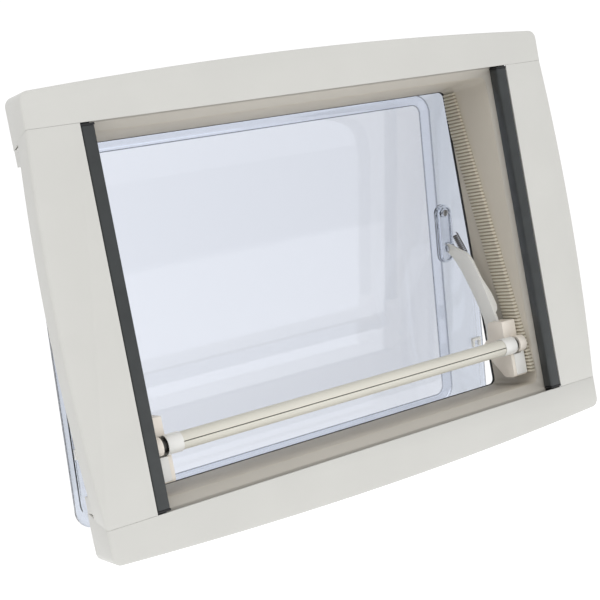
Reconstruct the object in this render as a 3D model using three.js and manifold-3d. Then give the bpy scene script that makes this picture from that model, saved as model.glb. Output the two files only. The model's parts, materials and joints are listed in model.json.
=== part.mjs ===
// A top-hung double-glazed roof light with a crossbar operator, seen from the room.
// Millimetres. +X right, +Y from the room to the outside, +Z towards the hinge edge.
// The origin is the centre of the trim's front face, and the sash stands ajar.

import * as THREE from 'three';
import { mergeVertices } from 'three/addons/utils/BufferGeometryUtils.js';
import Module from 'manifold-3d';

const wasm = await Module();
wasm.setup();

// ---------------------------------------------------------------- driving dimensions
const gap = 0.3; // between pieces that touch or slide
const wall = 3; // moulded wall
const openingHalfWidth = 311; // clear opening where the tub starts
const openingHalfHeight = 222.75;
const openingRadius = 9;

// interior trim
const sideReveal = 15.5; // the opening stands this far inside the cassettes
const endReveal = 10.05; // and inside the long members
const cassetteWidth = 66;
const memberHeight = 43.2;
const cassetteInnerX = openingHalfWidth + sideReveal;
const trimHalfWidth = cassetteInnerX + cassetteWidth; // at the seams and the straight ends
const seamZ = openingHalfHeight + endReveal; // seam between the long members and the cassettes
const trimCornerZ = seamZ + memberHeight; // long members' outer edge at the corners
const cassetteBulge = 10; // the cassettes' outer edge swells by this at mid-height
const memberBulge = 12; // and the long members' by this at mid-width
const trimCornerRadius = 12;
const trimDepth = 50; // front face to ceiling
const cassetteDepth = 30;
const seamRake = 17.8; // the end seam leans this far from the front to the ceiling
const memberReturn = 12; // depth of the long members' inner return
const footInset = 16.8; // a cassette's rear foot below its seam
const footLength = 20;
const footDepth = [cassetteDepth - 8, trimDepth - 2];

// liner and tub
const linerFront = 16;
const linerBack = 31;
const linerFlange = 12; // the liner reaches this far behind the trim
const linerRadius = 6;
const tubRimY = 120;
const sideTaper = 5; // the tub narrows by this on each side towards its rim
const topTaper = 5.25;
const bottomFlare = 3.25; // and widens by this at the bottom
const rimHalfWidth = openingHalfWidth - sideTaper;
const rimTopZ = openingHalfHeight - topTaper;
const rimBottomZ = -(openingHalfHeight + bottomFlare);
const sealHeight = 4;
const sealWidth = 9;
const sealLip = 0.5; // the seal stands this far into the opening

// roof and outer frame
const roofThickness = 38;
const upstandHalfWidth = rimHalfWidth + 34; // leaves room for the sash's seal
const upstandHalfHeight = openingHalfHeight + 17.25; // and for the clamp bosses
const upstandRadius = 20;
const upstandWall = 4;
const upstandTop = 117;
const upstandBottom = 64;
const flangeWidth = 32;
const flangeRadius = 30;
const flangeThickness = 3;
const flangeHalfWidth = upstandHalfWidth + flangeWidth;
const flangeHalfHeight = upstandHalfHeight + flangeWidth;
const tubClearance = 2;

// clamps that pull the frame onto the roof
const clampX = openingHalfWidth - 131;
const clampWidth = 40;
const cutoutClearance = 10; // between the upstand and the roof's cut-out
const clampReach = 20; // onto the ceiling, outside the cut-out
const clampScrewRadius = 2;
const clampScrewLength = 28;
const bossWidth = 14;
const bossHeight = 16;

// hinge and sash
const hingeY = 127;
const hingeZ = upstandHalfHeight + 12;
const hingePinRadius = 2.5;
const knuckleRadius = 5.5;
const knuckleLength = 90;
const knuckleCount = 5;
const sashAngle = 8.5; // degrees, standing ajar
const sashHalfWidth = upstandHalfWidth + 12;
const sashTopZ = upstandHalfHeight;
const sashBottomZ = -(upstandHalfHeight + 36);
const sashRadius = 60;
const paneThickness = 3;
const paneInnerY = 124.5;
const panelMarginX = 92; // flat margin beside the inner pane's raised field
const panelMarginZ = 35;
const panelRadius = 14;
const panelHalfWidth = sashHalfWidth - panelMarginX;
const panelTopZ = sashTopZ - panelMarginZ;
const panelBottomZ = sashBottomZ + panelMarginZ;
const panelSlope = 13;
const panelDepth = 5;
const domeHeight = 42;
const domeFlange = 12;

// racks
const rackFace = rimHalfWidth - 4;
const ribDepth = 1.5;
const ribPitch = 5;
const rackWidth = 28;
const rackTopZ = rimTopZ - 5.5;
const rackBottomZ = rimBottomZ + 20;
const rackTopY = 111; // middle of the ribbed face at the top
const rackBottomY = 43.5;
const rackFlange = 4;
const rackRootX = openingHalfWidth + 9; // past the tub's wall, which trims it

// operator
const stayX = rackFace - 14; // plane of the arms
const barY = 40;
const barZ = rimBottomZ + 64;
const barRadius = 11.5;
const barWall = 3.5;
const barSeam = 1.2; // between the shells
const tubeWall = 1.5;
const sliderOuterX = rackFace - 0.7;
const sliderInnerX = sliderOuterX - 24.3;
const barHalfLength = sliderInnerX - 12;
const collarRadius = barRadius + 1.2;
const collarLength = 21;
const socketGap = 6.3; // between the collar and the slider's socket
const collarOverlap = 3; // the collar reaches this far over the shells' ends
const sliderPivotY = barY + 47;
const sliderPivotZ = barZ - 8;
const armRise = 157; // from the slider's pivot up to the sash's, standing ajar
const armPivotStandoff = 13.922; // the pivot stands this far inside the shut pane
const armWidth = 28;
const armOffset = 38; // its room-side edge stands this far from the line between its pivots
const armThickness = 4;
const armTopRadius = 6.5;
const armFootRadius = 8;
const armRim = 2.5; // the arm's room-side edge turns outwards in a rim this thick
const armRimWidth = 11; // across the arms' plane, at its widest
const pivotRadius = 3;
const buttonWidth = 19;
const buttonDrop = 33;
const buttonDepth = 6.5;
const buttonTravel = 3;
const bracketX = stayX + 2;
const bracketWidth = 29;
const bracketHeight = 90;
const bracketPivotHeight = 24; // the pivot above the bracket's lower end
const bracketScrewHeight = 77;
const bracketScrewRadius = 2;
const bracketScrewLength = 18;
const bracketThickness = 3;
const bracketStep = 2; // the raised rim stands this far inside the bracket's edge
const bracketRim = 2.5;
const bracketRimHeight = 5;
const bracketBossRadius = 7;
const cheekRadius = 7;
const cheekThickness = 4;
const springX = stayX + 8;
const springRadius = 4.5;
const springWire = 0.8;
const springTurns = 11;
const springTopOffset = [-9, 18]; // the spring's ends from the arm's upper pivot
const springFootOffset = [-27, -12];
const keeperX = sashHalfWidth - 16;
const keeperZ = sashBottomZ + 104;

// blinds
const railInnerX = openingHalfWidth - 2.5;
const railOuterX = cassetteInnerX - 0.5;
const railDepth = 16;
const railHalfHeight = seamZ - 1.3;
const shoeLength = 14;
const packX = railOuterX + 4;
const packY = wall + 1.5;
const packWidth = 16;
const packDepth = 9;
const anchorThickness = 3.7;

// ---------------------------------------------------------------- materials
const paint = (color, roughness, metalness = 0) =>
  new THREE.MeshStandardMaterial({ color, roughness, metalness });
const trimWhite = paint(0xdcddd7, 0.45);
const linerBeige = paint(0xcfc6b8, 0.5);
const beige = paint(0xc9beae, 0.55);
const framePlastic = paint(0xd9d8d2, 0.6);
const sealBlack = paint(0x1d1d1f, 0.8);
const railGrey = paint(0x383c3b, 0.5, 0.3);
const steel = paint(0xb9bcc0, 0.3, 1);
const springSteel = paint(0x4a4c50, 0.35, 1);
const operatorWhite = paint(0xe0e1dc, 0.4);
const fabricSilver = paint(0xc5c7ca, 0.7);
const fabricScreen = paint(0x6f7274, 0.9);
const acrylic = new THREE.MeshStandardMaterial({
  color: 0xc9d2dd, roughness: 0.08, metalness: 0, transparent: true, opacity: 0.35,
});

// ---------------------------------------------------------------- solids
function solid(geometry) {
  const bare = geometry.clone();
  bare.deleteAttribute('normal');
  bare.deleteAttribute('uv');
  const merged = mergeVertices(bare, 1e-4);
  return new wasm.Manifold(new wasm.Mesh({
    numProp: 3,
    vertProperties: new Float32Array(merged.attributes.position.array),
    triVerts: new Uint32Array(merged.index.array),
  }));
}

function surface(manifold) {
  const mesh = manifold.getMesh();
  const geometry = new THREE.BufferGeometry();
  geometry.setAttribute('position', new THREE.BufferAttribute(mesh.vertProperties, 3));
  geometry.setIndex(new THREE.BufferAttribute(mesh.triVerts, 1));
  geometry.computeVertexNormals();
  return geometry;
}

const join = (...parts) => parts.reduce((whole, part) => whole.add(part));
const cut = (whole, ...tools) => tools.reduce((rest, tool) => rest.subtract(tool), whole);

function box(x, y, z) {
  const size = [x, y, z].map(([low, high]) => high - low);
  const centre = [x, y, z].map(([low, high]) => (low + high) / 2);
  return solid(new THREE.BoxGeometry(...size).translate(...centre));
}

const alongX = new THREE.Matrix4().makeBasis(
  new THREE.Vector3(0, 1, 0), new THREE.Vector3(0, 0, 1), new THREE.Vector3(1, 0, 0));

function extrude(shape, depth, curveSegments = 6) {
  return new THREE.ExtrudeGeometry(shape, { depth, bevelEnabled: false, curveSegments });
}

// a (Y, Z) outline drawn out along X
function prismX(shape, from, to) {
  return solid(extrude(shape, to - from).applyMatrix4(alongX).translate(from, 0, 0));
}

// an (X, Z) outline drawn out along Y
function prismY(shape, from, to, curveSegments) {
  return solid(extrude(shape, to - from, curveSegments).rotateX(Math.PI / 2).translate(0, to, 0));
}

function outline(points) {
  return new THREE.Shape(points.map(([u, v]) => new THREE.Vector2(u, v)));
}

function roundedRectangle(left, right, bottom, top, radius) {
  const shape = new THREE.Shape();
  shape.moveTo(left + radius, bottom);
  shape.lineTo(right - radius, bottom);
  shape.absarc(right - radius, bottom + radius, radius, -Math.PI / 2, 0, false);
  shape.lineTo(right, top - radius);
  shape.absarc(right - radius, top - radius, radius, 0, Math.PI / 2, false);
  shape.lineTo(left + radius, top);
  shape.absarc(left + radius, top - radius, radius, Math.PI / 2, Math.PI, false);
  shape.lineTo(left, bottom + radius);
  shape.absarc(left + radius, bottom + radius, radius, Math.PI, Math.PI * 1.5, false);
  return shape;
}

function plate(halfWidth, bottom, top, radius, from, to) {
  return prismY(roundedRectangle(-halfWidth, halfWidth, bottom, top, radius), from, to);
}

function rod(axis, centre, radius, length, sides = 20) {
  const geometry = new THREE.CylinderGeometry(radius, radius, length, sides);
  if (axis === 'x') geometry.rotateZ(-Math.PI / 2);
  if (axis === 'z') geometry.rotateX(Math.PI / 2);
  return solid(geometry.translate(...centre));
}

// a screw driven along +Y, its head's seat at y
function screw(x, y, z, radius, headRadius, length) {
  const headHeight = radius * 1.3;
  return join(
    rod('y', [x, y + (length - headHeight) / 2, z], radius, length + headHeight),
    rod('y', [x, y - headHeight / 2, z], headRadius, headHeight),
  );
}

// a solid between rounded rectangles {halfWidth, bottom, top, radius, y}, one after another along Y
function loft(stations, cornerSteps = 4) {
  const rings = stations.map(({ halfWidth, bottom, top, radius, y }) => {
    const corners = [
      [halfWidth - radius, bottom + radius, -90],
      [halfWidth - radius, top - radius, 0],
      [-halfWidth + radius, top - radius, 90],
      [-halfWidth + radius, bottom + radius, 180],
    ];
    return corners.flatMap(([x, z, start]) => Array.from({ length: cornerSteps + 1 }, (_, step) => {
      const angle = THREE.MathUtils.degToRad(start + (90 * step) / cornerSteps);
      return [x + radius * Math.cos(angle), y, z + radius * Math.sin(angle)];
    }));
  });
  const count = rings[0].length;
  const index = [];
  for (let ring = 0; ring + 1 < rings.length; ring++) {
    for (let i = 0; i < count; i++) {
      const a = ring * count + i;
      const b = ring * count + (i + 1) % count;
      index.push(a, a + count, b, b, a + count, b + count);
    }
  }
  const last = (rings.length - 1) * count;
  for (let i = 1; i + 1 < count; i++) {
    index.push(0, i, i + 1, last, last + i + 1, last + i);
  }
  const geometry = new THREE.BufferGeometry();
  geometry.setAttribute('position', new THREE.Float32BufferAttribute(rings.flat(2), 3));
  geometry.setIndex(index);
  return solid(geometry.toNonIndexed());
}

// ---------------------------------------------------------------- assembly helpers
const object = new THREE.Group();
const sash = new THREE.Group();
sash.position.set(0, hingeY, hingeZ);
sash.rotation.x = THREE.MathUtils.degToRad(sashAngle);
object.add(sash);

function place(name, manifold, material, group = object) {
  const geometry = surface(manifold);
  if (group === sash) geometry.translate(0, -hingeY, -hingeZ);
  const mesh = new THREE.Mesh(geometry, material);
  mesh.name = name;
  group.add(mesh);
}

// a piece drawn on the right, at +X, and its mirror image on the left
const mirrored = (manifold, side) => (side < 0 ? manifold.mirror([1, 0, 0]) : manifold);
const sides = [['left', -1], ['right', 1]];
const ends = [['upper', 1], ['lower', -1]];
const flipped = (manifold, end) => (end < 0 ? manifold.mirror([0, 0, 1]) : manifold);

// ---------------------------------------------------------------- interior trim
// radius of the arc that swells by rise over a chord of half-length half
const arcRadius = (half, rise) => (half * half + rise * rise) / (2 * rise);

function memberOutline(inset) {
  const radius = arcRadius(trimHalfWidth, memberBulge);
  const centreZ = trimCornerZ + memberBulge - radius;
  const half = trimHalfWidth - inset;
  const corner = trimCornerRadius - inset;
  const span = Math.asin((half - corner) / (radius - inset));
  const shape = new THREE.Shape();
  shape.moveTo(-half, seamZ + gap / 2);
  shape.lineTo(half, seamZ + gap / 2);
  const edgeZ = centreZ + (radius - inset) * Math.cos(span);
  shape.lineTo(half, edgeZ - corner);
  shape.absarc(half - corner, edgeZ - corner, corner, 0, Math.PI / 2 - span, false);
  shape.absarc(0, centreZ, radius - inset, Math.PI / 2 - span, Math.PI / 2 + span, false);
  shape.absarc(-half + corner, edgeZ - corner, corner, Math.PI / 2 + span, Math.PI, false);
  shape.closePath();
  return shape;
}

const seamPlane = (y) => seamZ - (seamRake * y) / trimDepth;

function endLug(inner, outer, inset) {
  return prismX(outline([
    [0, seamPlane(0) + inset], [trimDepth, seamPlane(trimDepth) + inset], [trimDepth, seamZ + 5], [0, seamZ + 5],
  ]), inner, outer);
}

const memberShell = cut(
  prismY(memberOutline(0), 0, trimDepth, 8),
  prismY(memberOutline(wall), wall, trimDepth + 1, 8),
);
// the inner return is short between the cassettes, and gone where they meet the member
const behindReturn = box([-trimHalfWidth + wall, trimHalfWidth - wall], [memberReturn, trimDepth + 1],
  [seamZ - 1, seamZ + wall + 1]);
const member = join(
  cut(memberShell, behindReturn),
  ...sides.map(([, side]) => mirrored(endLug(trimHalfWidth - wall, trimHalfWidth, gap / 2), side)),
);

function cassetteOutline(inset) {
  const radius = arcRadius(seamZ, cassetteBulge);
  const centreX = trimHalfWidth + cassetteBulge - radius;
  const span = Math.asin((seamZ - gap / 2) / radius);
  const shape = new THREE.Shape();
  shape.moveTo(cassetteInnerX, -seamZ + gap / 2);
  shape.lineTo(centreX + (radius - inset) * Math.cos(span), -seamZ + gap / 2);
  shape.absarc(centreX, 0, radius - inset, -span, span, false);
  shape.lineTo(cassetteInnerX, seamZ - gap / 2);
  shape.closePath();
  return shape;
}

const belowSeam = prismX(outline([
  [-1, -seamPlane(-1) + gap / 2], [trimDepth, -seamPlane(trimDepth) + gap / 2],
  [trimDepth, seamPlane(trimDepth) - gap / 2], [-1, seamPlane(-1) - gap / 2],
]), cassetteInnerX - 1, trimHalfWidth + cassetteBulge + 1);
const cassetteShell = cut(
  prismY(cassetteOutline(0), 0, cassetteDepth, 10),
  prismY(cassetteOutline(wall), wall, cassetteDepth + 1, 10),
).intersect(belowSeam);
const cassetteFeet = ends.map(([, end]) => flipped(
  box([trimHalfWidth - wall, trimHalfWidth], footDepth, [seamZ - footInset - footLength, seamZ - footInset])
    .intersect(belowSeam), end));
const cassette = join(cassetteShell, ...cassetteFeet);

place('upper_trim', member, trimWhite);
place('lower_trim', flipped(member, -1), trimWhite);
for (const [name, side] of sides) {
  place(`${name}_cassette_cover`, mirrored(cassette, side), trimWhite);
}

// ---------------------------------------------------------------- liner and tub
const linerOuter = {
  halfWidth: cassetteInnerX + linerFlange, bottom: -seamZ - linerFlange, top: seamZ + linerFlange,
  radius: linerRadius,
};
const linerMouth = {
  halfWidth: cassetteInnerX + 0.5, bottom: -seamZ, top: seamZ, radius: openingRadius, y: linerFront - 1,
};
const tubMouth = {
  halfWidth: openingHalfWidth, bottom: -openingHalfHeight, top: openingHalfHeight, radius: openingRadius, y: linerBack,
};
const tubRim = {
  halfWidth: rimHalfWidth, bottom: rimBottomZ, top: rimTopZ, radius: openingRadius, y: tubRimY,
};

function grown(station, by, y = station.y) {
  return {
    halfWidth: station.halfWidth + by, bottom: station.bottom - by, top: station.top + by,
    radius: station.radius + by, y,
  };
}

// the tub's tapering inside at depth y, by along its walls
function tubStation(y, by) {
  const t = (y - linerBack) / (tubRimY - linerBack);
  const mix = (key) => THREE.MathUtils.lerp(tubMouth[key], tubRim[key], t);
  return grown({ halfWidth: mix('halfWidth'), bottom: mix('bottom'), top: mix('top'), radius: openingRadius, y }, by);
}

place('liner_ring', cut(
  loft([{ ...linerOuter, y: linerFront }, { ...linerOuter, y: linerBack }]),
  loft([linerMouth, tubMouth, { ...tubMouth, y: linerBack + 1 }]),
), linerBeige);

const tubFront = linerBack + gap;
place('tub_frame', cut(
  loft([tubStation(tubFront, wall), tubStation(tubRimY, wall)]),
  loft([tubStation(tubFront - 1, 0), tubStation(tubRimY + 1, 0)]),
), beige);

const sealFoot = tubRimY + gap;
place('frame_seal', cut(
  loft([grown(tubRim, sealWidth, sealFoot), grown(tubRim, sealWidth, sealFoot + sealHeight - gap)]),
  loft([grown(tubRim, -sealLip, sealFoot - 1), grown(tubRim, -sealLip, sealFoot + sealHeight + 1)]),
), sealBlack);

// ---------------------------------------------------------------- outer frame and clamps
const roofY = trimDepth + roofThickness;

function ring(halfWidth, halfHeight, radius, width, from, to) {
  return cut(
    plate(halfWidth, -halfHeight, halfHeight, radius, from, to),
    plate(halfWidth - width, -halfHeight + width, halfHeight - width, Math.max(radius - width, 3), from - 1, to + 1),
  );
}

const bossY = [upstandBottom, upstandBottom + bossHeight];
const bossInnerZ = openingHalfHeight + wall + tubClearance;
const bosses = [-clampX, clampX].flatMap((x) => ends.map(([, end]) => flipped(
  box([x - bossWidth / 2, x + bossWidth / 2], bossY, [bossInnerZ, upstandHalfHeight - 1]), end)));
const screwZ = (bossInnerZ + upstandHalfHeight - upstandWall) / 2;
const bossHoles = [-clampX, clampX].flatMap((x) => [1, -1].map((end) => rod('y',
  [x, bossY[0] + 5, end * screwZ], clampScrewRadius + 0.2, 14)));
const sealShelf = rimHalfWidth + wall + tubClearance;
const upstand = ring(upstandHalfWidth, upstandHalfHeight, upstandRadius, upstandWall, upstandBottom, upstandTop);
const shelf = cut(
  plate(upstandHalfWidth, -upstandHalfHeight, upstandHalfHeight, upstandRadius, upstandTop - wall, upstandTop),
  plate(sealShelf, rimBottomZ - wall - tubClearance, rimTopZ + wall + tubClearance, 12, upstandTop - wall - 1,
    upstandTop + 1),
);
const flange = ring(flangeHalfWidth, flangeHalfHeight, flangeRadius, flangeWidth + upstandWall / 2, roofY,
  roofY + flangeThickness);
place('outer_frame', cut(join(upstand, shelf, flange, ...bosses), ...bossHoles), framePlastic);

const clampY = trimDepth - gap - wall;
const clampEndZ = upstandHalfHeight + cutoutClearance + clampReach;
[[-1, 1], [1, 1], [-1, -1], [1, -1]].forEach(([side, end], number) => {
  const x = side * clampX;
  const clamp = cut(
    flipped(box([x - clampWidth / 2, x + clampWidth / 2], [clampY, clampY + wall], [bossInnerZ, clampEndZ]), end),
    rod('y', [x, clampY, end * screwZ], clampScrewRadius + 0.3, 12),
  );
  place(`clamp_plate_${number + 1}`, clamp, steel);
  place(`clamp_screw_${number + 1}`, screw(x, clampY - gap, end * screwZ, clampScrewRadius,
    2 * clampScrewRadius, clampScrewLength), steel);
});

// ---------------------------------------------------------------- blinds
const trackZ = seamZ + wall + 1;
for (const [name, end] of ends) {
  const track = join(
    box([-trimHalfWidth + 8, trimHalfWidth - 8], [memberReturn - 3, memberReturn + 0.2], [trackZ, trackZ + 7]),
    box([-trimHalfWidth + 8, trimHalfWidth - 8], [memberReturn - 3, linerFront - gap], [trackZ + 5, trackZ + 7]),
  );
  place(`${name}_blind_track`, flipped(track, end), railGrey);
}

for (const [name, side] of [['blackout', -1], ['screen', 1]]) {
  const rail = cut(
    box([railInnerX, railOuterX], [0, railDepth - gap], [-railHalfHeight + 3, railHalfHeight - 3]),
    box([railOuterX - 6, railOuterX + 1], [packY - 1, packY + packDepth - 1], [-railHalfHeight, railHalfHeight]),
  );
  place(`${name}_rail`, mirrored(rail, side), railGrey);
  for (const [endName, end] of ends) {
    const shoe = join(
      box([railInnerX, railOuterX], [0, railDepth - gap], [railHalfHeight - 3 + gap, railHalfHeight]),
      box([railInnerX + 1, railInnerX + 1 + shoeLength], [memberReturn + 0.6, linerFront - 0.8],
        [railHalfHeight - 1, trackZ + 4]),
    );
    place(`${name}_${endName}_shoe`, mirrored(flipped(shoe, end), side), sealBlack);
  }
  const fabric = name === 'blackout' ? fabricSilver : fabricScreen;
  const pack = box([packX, packX + packWidth], [packY, packY + packDepth], [-railHalfHeight + 2, railHalfHeight - 2]);
  place(`${name}_pleats`, mirrored(pack, side), fabric);
  const anchorX = packX + packWidth + gap;
  const anchor = box([anchorX, anchorX + anchorThickness], [packY - 1, packY + packDepth + 1],
    [-railHalfHeight, railHalfHeight]);
  place(`${name}_anchor`, mirrored(anchor, side), railGrey);
}

// ---------------------------------------------------------------- racks
const rackLength = rackTopZ - rackBottomZ;
const rackMiddle = (z) => THREE.MathUtils.mapLinear(z, rackBottomZ, rackTopZ, rackBottomY, rackTopY);
const rackStrip = (nearer, farther) => outline([
  [rackMiddle(rackBottomZ) - nearer, rackBottomZ], [rackMiddle(rackBottomZ) + farther, rackBottomZ],
  [rackMiddle(rackTopZ) + farther, rackTopZ], [rackMiddle(rackTopZ) - nearer, rackTopZ],
]);
const comb = new THREE.Shape();
comb.moveTo(rackRootX, rackBottomZ);
comb.lineTo(rackRootX, rackTopZ);
for (let rib = Math.floor(rackLength / ribPitch); rib >= 0; rib--) {
  const z = rackBottomZ + rib * ribPitch;
  const top = Math.min(z + ribPitch * 0.55, rackTopZ - 0.2);
  comb.lineTo(rackFace + ribDepth, top);
  comb.lineTo(rackFace, top - 0.6);
  comb.lineTo(rackFace, z + 0.6);
  comb.lineTo(rackFace + ribDepth, z + (rib === 0 ? 0.1 : 0));
}
comb.closePath();
const cavity = loft([tubStation(tubFront, -gap), tubStation(tubRimY - 0.5, -gap)]);
const rack = join(
  prismY(comb, tubFront, tubRimY).intersect(prismX(rackStrip(rackWidth / 2, rackWidth / 2), rackFace - 1, rackRootX)),
  prismX(rackStrip(0, rackWidth / 2 + rackFlange), rackFace + 2.5, rackRootX),
).intersect(cavity);
for (const [name, side] of sides) {
  place(`${name}_rack`, mirrored(rack, side), operatorWhite);
}

// ---------------------------------------------------------------- hinge
const hingeHalfLength = (knuckleLength * knuckleCount) / 2;
function knuckles(first) {
  const pieces = [];
  for (let number = first; number < knuckleCount; number += 2) {
    const centre = -hingeHalfLength + knuckleLength * (number + 0.5);
    pieces.push([centre - knuckleLength / 2 + gap, centre + knuckleLength / 2 - gap]);
  }
  return pieces;
}
const hingeBore = rod('x', [0, hingeY, hingeZ], hingePinRadius + 0.2, 2 * hingeHalfLength + 10);
const barrel = ([from, to]) => rod('x', [(from + to) / 2, hingeY, hingeZ], knuckleRadius, to - from);
const hingeFootY = upstandTop + gap;
const hingeFoot = box([-hingeHalfLength, hingeHalfLength], [hingeFootY, hingeFootY + wall],
  [upstandHalfHeight - 12, hingeZ - 2]);
const fixedWebs = knuckles(0).map(([from, to]) => box([from, to], [hingeFootY, hingeY],
  [hingeZ - 4, hingeZ]));
place('hinge_rail_fixed', cut(join(hingeFoot, ...fixedWebs, ...knuckles(0).map(barrel)), hingeBore), trimWhite);
place('hinge_pin', rod('x', [0, hingeY, hingeZ], hingePinRadius, 2 * hingeHalfLength - 2), steel);

const railBackY = paneInnerY + 2 * (paneThickness + gap);
const leafTopZ = hingeZ - knuckleRadius - 2;
const movingLeaf = box([-hingeHalfLength, hingeHalfLength], [railBackY, railBackY + wall],
  [sashTopZ - domeFlange + 1, leafTopZ]);
const movingWebs = knuckles(1).map(([from, to]) => box([from, to], [hingeY + hingePinRadius + 1, railBackY + wall],
  [leafTopZ - 2, hingeZ]));
place('hinge_rail_moving', cut(join(movingLeaf, ...movingWebs, ...knuckles(1).map(barrel)), hingeBore),
  trimWhite, sash);

// ---------------------------------------------------------------- sash
const sashEdge = (inset, y) => ({
  halfWidth: sashHalfWidth - inset, bottom: sashBottomZ + inset, top: sashTopZ - inset,
  radius: Math.max(sashRadius - inset * 0.5, 8), y,
});
const field = (inset, y) => ({
  halfWidth: panelHalfWidth + inset, bottom: panelBottomZ - inset, top: panelTopZ + inset,
  radius: panelRadius + inset, y,
});
const paneOuterY = paneInnerY + paneThickness;
const pane = cut(
  join(
    loft([sashEdge(0, paneInnerY), sashEdge(0, paneOuterY)]),
    loft([field(panelSlope + paneThickness, paneOuterY - 0.5), field(paneThickness, paneOuterY + panelDepth),
      field(paneThickness - 0.5, paneOuterY + panelDepth + 0.1)]),
  ),
  loft([field(panelSlope + 0.5, paneInnerY - 0.5), field(0, paneInnerY + panelDepth)]),
);

// a point of the standing object in the shut sash's own frame
const lean = THREE.MathUtils.degToRad(sashAngle);
function shut(y, z) {
  const [dy, dz] = [y - hingeY, z - hingeZ];
  return [hingeY + dy * Math.cos(lean) + dz * Math.sin(lean), hingeZ - dy * Math.sin(lean) + dz * Math.cos(lean)];
}
// the arms' upper pivot: at a set height, and at a set distance from the pane
const pivotShutY = paneInnerY - armPivotStandoff;
const armPivotZ = sliderPivotZ + armRise;
const pivotShutZ = hingeZ + (armPivotZ - hingeZ - (pivotShutY - hingeY) * Math.sin(lean)) / Math.cos(lean);
const armPivotY = hingeY + (pivotShutY - hingeY) * Math.cos(lean) - (pivotShutZ - hingeZ) * Math.sin(lean);
const bracketBase = pivotShutZ - bracketPivotHeight;
const screwShutZ = bracketBase + bracketScrewHeight;
const screwHole = rod('y', [bracketX, paneInnerY, screwShutZ], bracketScrewRadius + gap, 40);
place('inner_pane', cut(pane, ...sides.map(([, side]) => mirrored(screwHole, side))), acrylic, sash);

const domeY = paneOuterY + gap;
const domeSkin = (inset, drop) => loft([
  sashEdge(domeFlange + inset, domeY + paneThickness - 0.5 - drop),
  sashEdge(domeFlange + 14 + inset, domeY + domeHeight * 0.72 - drop),
  sashEdge(domeFlange + 38 + inset, domeY + domeHeight * 0.94 - drop),
  sashEdge(domeFlange + 90 + inset, domeY + domeHeight - drop),
], 5);
const dome = cut(
  join(loft([sashEdge(0, domeY), sashEdge(0, domeY + paneThickness)]), domeSkin(0, 0)),
  domeSkin(paneThickness, paneThickness),
);
place('outer_dome', dome, acrylic, sash);

// ---------------------------------------------------------------- brackets, springs and keepers on the sash
const bracketBackY = paneInnerY - gap;
const bracketFrontY = bracketBackY - bracketThickness;
const bracketRimY = bracketFrontY - bracketRimHeight;
function bracketOutline(inset) {
  const half = bracketWidth / 2 - inset;
  return roundedRectangle(-half, half, inset, bracketHeight - inset, half - 0.5);
}
const bracketPlate = prismY(bracketOutline(0), bracketFrontY, bracketBackY, 5);
const bracketRing = cut(
  prismY(bracketOutline(bracketStep), bracketRimY, bracketFrontY + 1, 5),
  prismY(bracketOutline(bracketStep + bracketRim), bracketRimY - 1, bracketFrontY + 2, 5),
);
const bracketBoss = rod('y', [bracketX, (bracketRimY + bracketFrontY + 1) / 2, screwShutZ], bracketBossRadius,
  bracketFrontY + 1 - bracketRimY);
const cheekX = [stayX + armThickness / 2 + gap, stayX + armThickness / 2 + gap + cheekThickness];
const pinBore = rod('x', [stayX, pivotShutY, pivotShutZ], pivotRadius + gap, 60);
const bracket = cut(
  join(
    join(bracketPlate, bracketRing).translate([bracketX, 0, bracketBase]),
    bracketBoss,
    box(cheekX, [pivotShutY, bracketBackY - 1], [pivotShutZ - cheekRadius, pivotShutZ + cheekRadius]),
    rod('x', [(cheekX[0] + cheekX[1]) / 2, pivotShutY, pivotShutZ], cheekRadius, cheekX[1] - cheekX[0]),
  ),
  screwHole, pinBore,
);
const pinHead = 1.6;
// a headed pin from x0 to x1 with its head at x0
const pin = (y, z, x0, x1) => join(
  rod('x', [(x0 + x1) / 2, y, z], pivotRadius, x1 - x0),
  rod('x', [x0 + pinHead / 2, y, z], pivotRadius + 2, pinHead),
);
const bracketScrew = screw(bracketX, bracketRimY - gap, screwShutZ, bracketScrewRadius, 5, bracketScrewLength);

class Helix extends THREE.Curve {
  constructor(from, to, radius, turns) {
    super();
    Object.assign(this, { from, to, radius, turns });
    const along = new THREE.Vector3().subVectors(to, from).normalize();
    this.across = new THREE.Vector3(1, 0, 0);
    this.third = new THREE.Vector3().crossVectors(along, this.across);
  }

  getPoint(t) {
    const angle = 2 * Math.PI * this.turns * t;
    return new THREE.Vector3().lerpVectors(this.from, this.to, t)
      .addScaledVector(this.across, this.radius * Math.cos(angle))
      .addScaledVector(this.third, this.radius * Math.sin(angle));
  }
}

const springEnds = [springTopOffset, springFootOffset].map(([y, z]) => new THREE.Vector3(
  springX, ...shut(armPivotY + y, armPivotZ + z)));
const wire = new THREE.Shape().absarc(0, 0, springWire, 0, 2 * Math.PI, false);
const spring = solid(new THREE.ExtrudeGeometry(wire, {
  extrudePath: new Helix(...springEnds, springRadius, springTurns), steps: springTurns * 9, curveSegments: 3,
  bevelEnabled: false,
}));

const keeper = cut(
  box([keeperX - 8, keeperX + 8], [paneInnerY - gap - 5, paneInnerY - gap], [keeperZ - 7, keeperZ + 7]),
  box([keeperX - 4.5, keeperX + 4.5], [paneInnerY - gap - 6, paneInnerY], [keeperZ - 8, keeperZ + 3]),
);

for (const [name, side] of sides) {
  place(`${name}_bracket`, mirrored(bracket, side), acrylic, sash);
  place(`${name}_bracket_screw`, mirrored(bracketScrew, side), steel, sash);
  place(`${name}_bracket_pin`, mirrored(pin(pivotShutY, pivotShutZ, stayX - armThickness / 2 - gap - pinHead,
    cheekX[1] + 1), side), steel, sash);
  place(`${name}_spring`, mirrored(spring, side), springSteel, sash);
  place(`${name}_sash_keeper`, mirrored(keeper, side), operatorWhite, sash);
}

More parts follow.
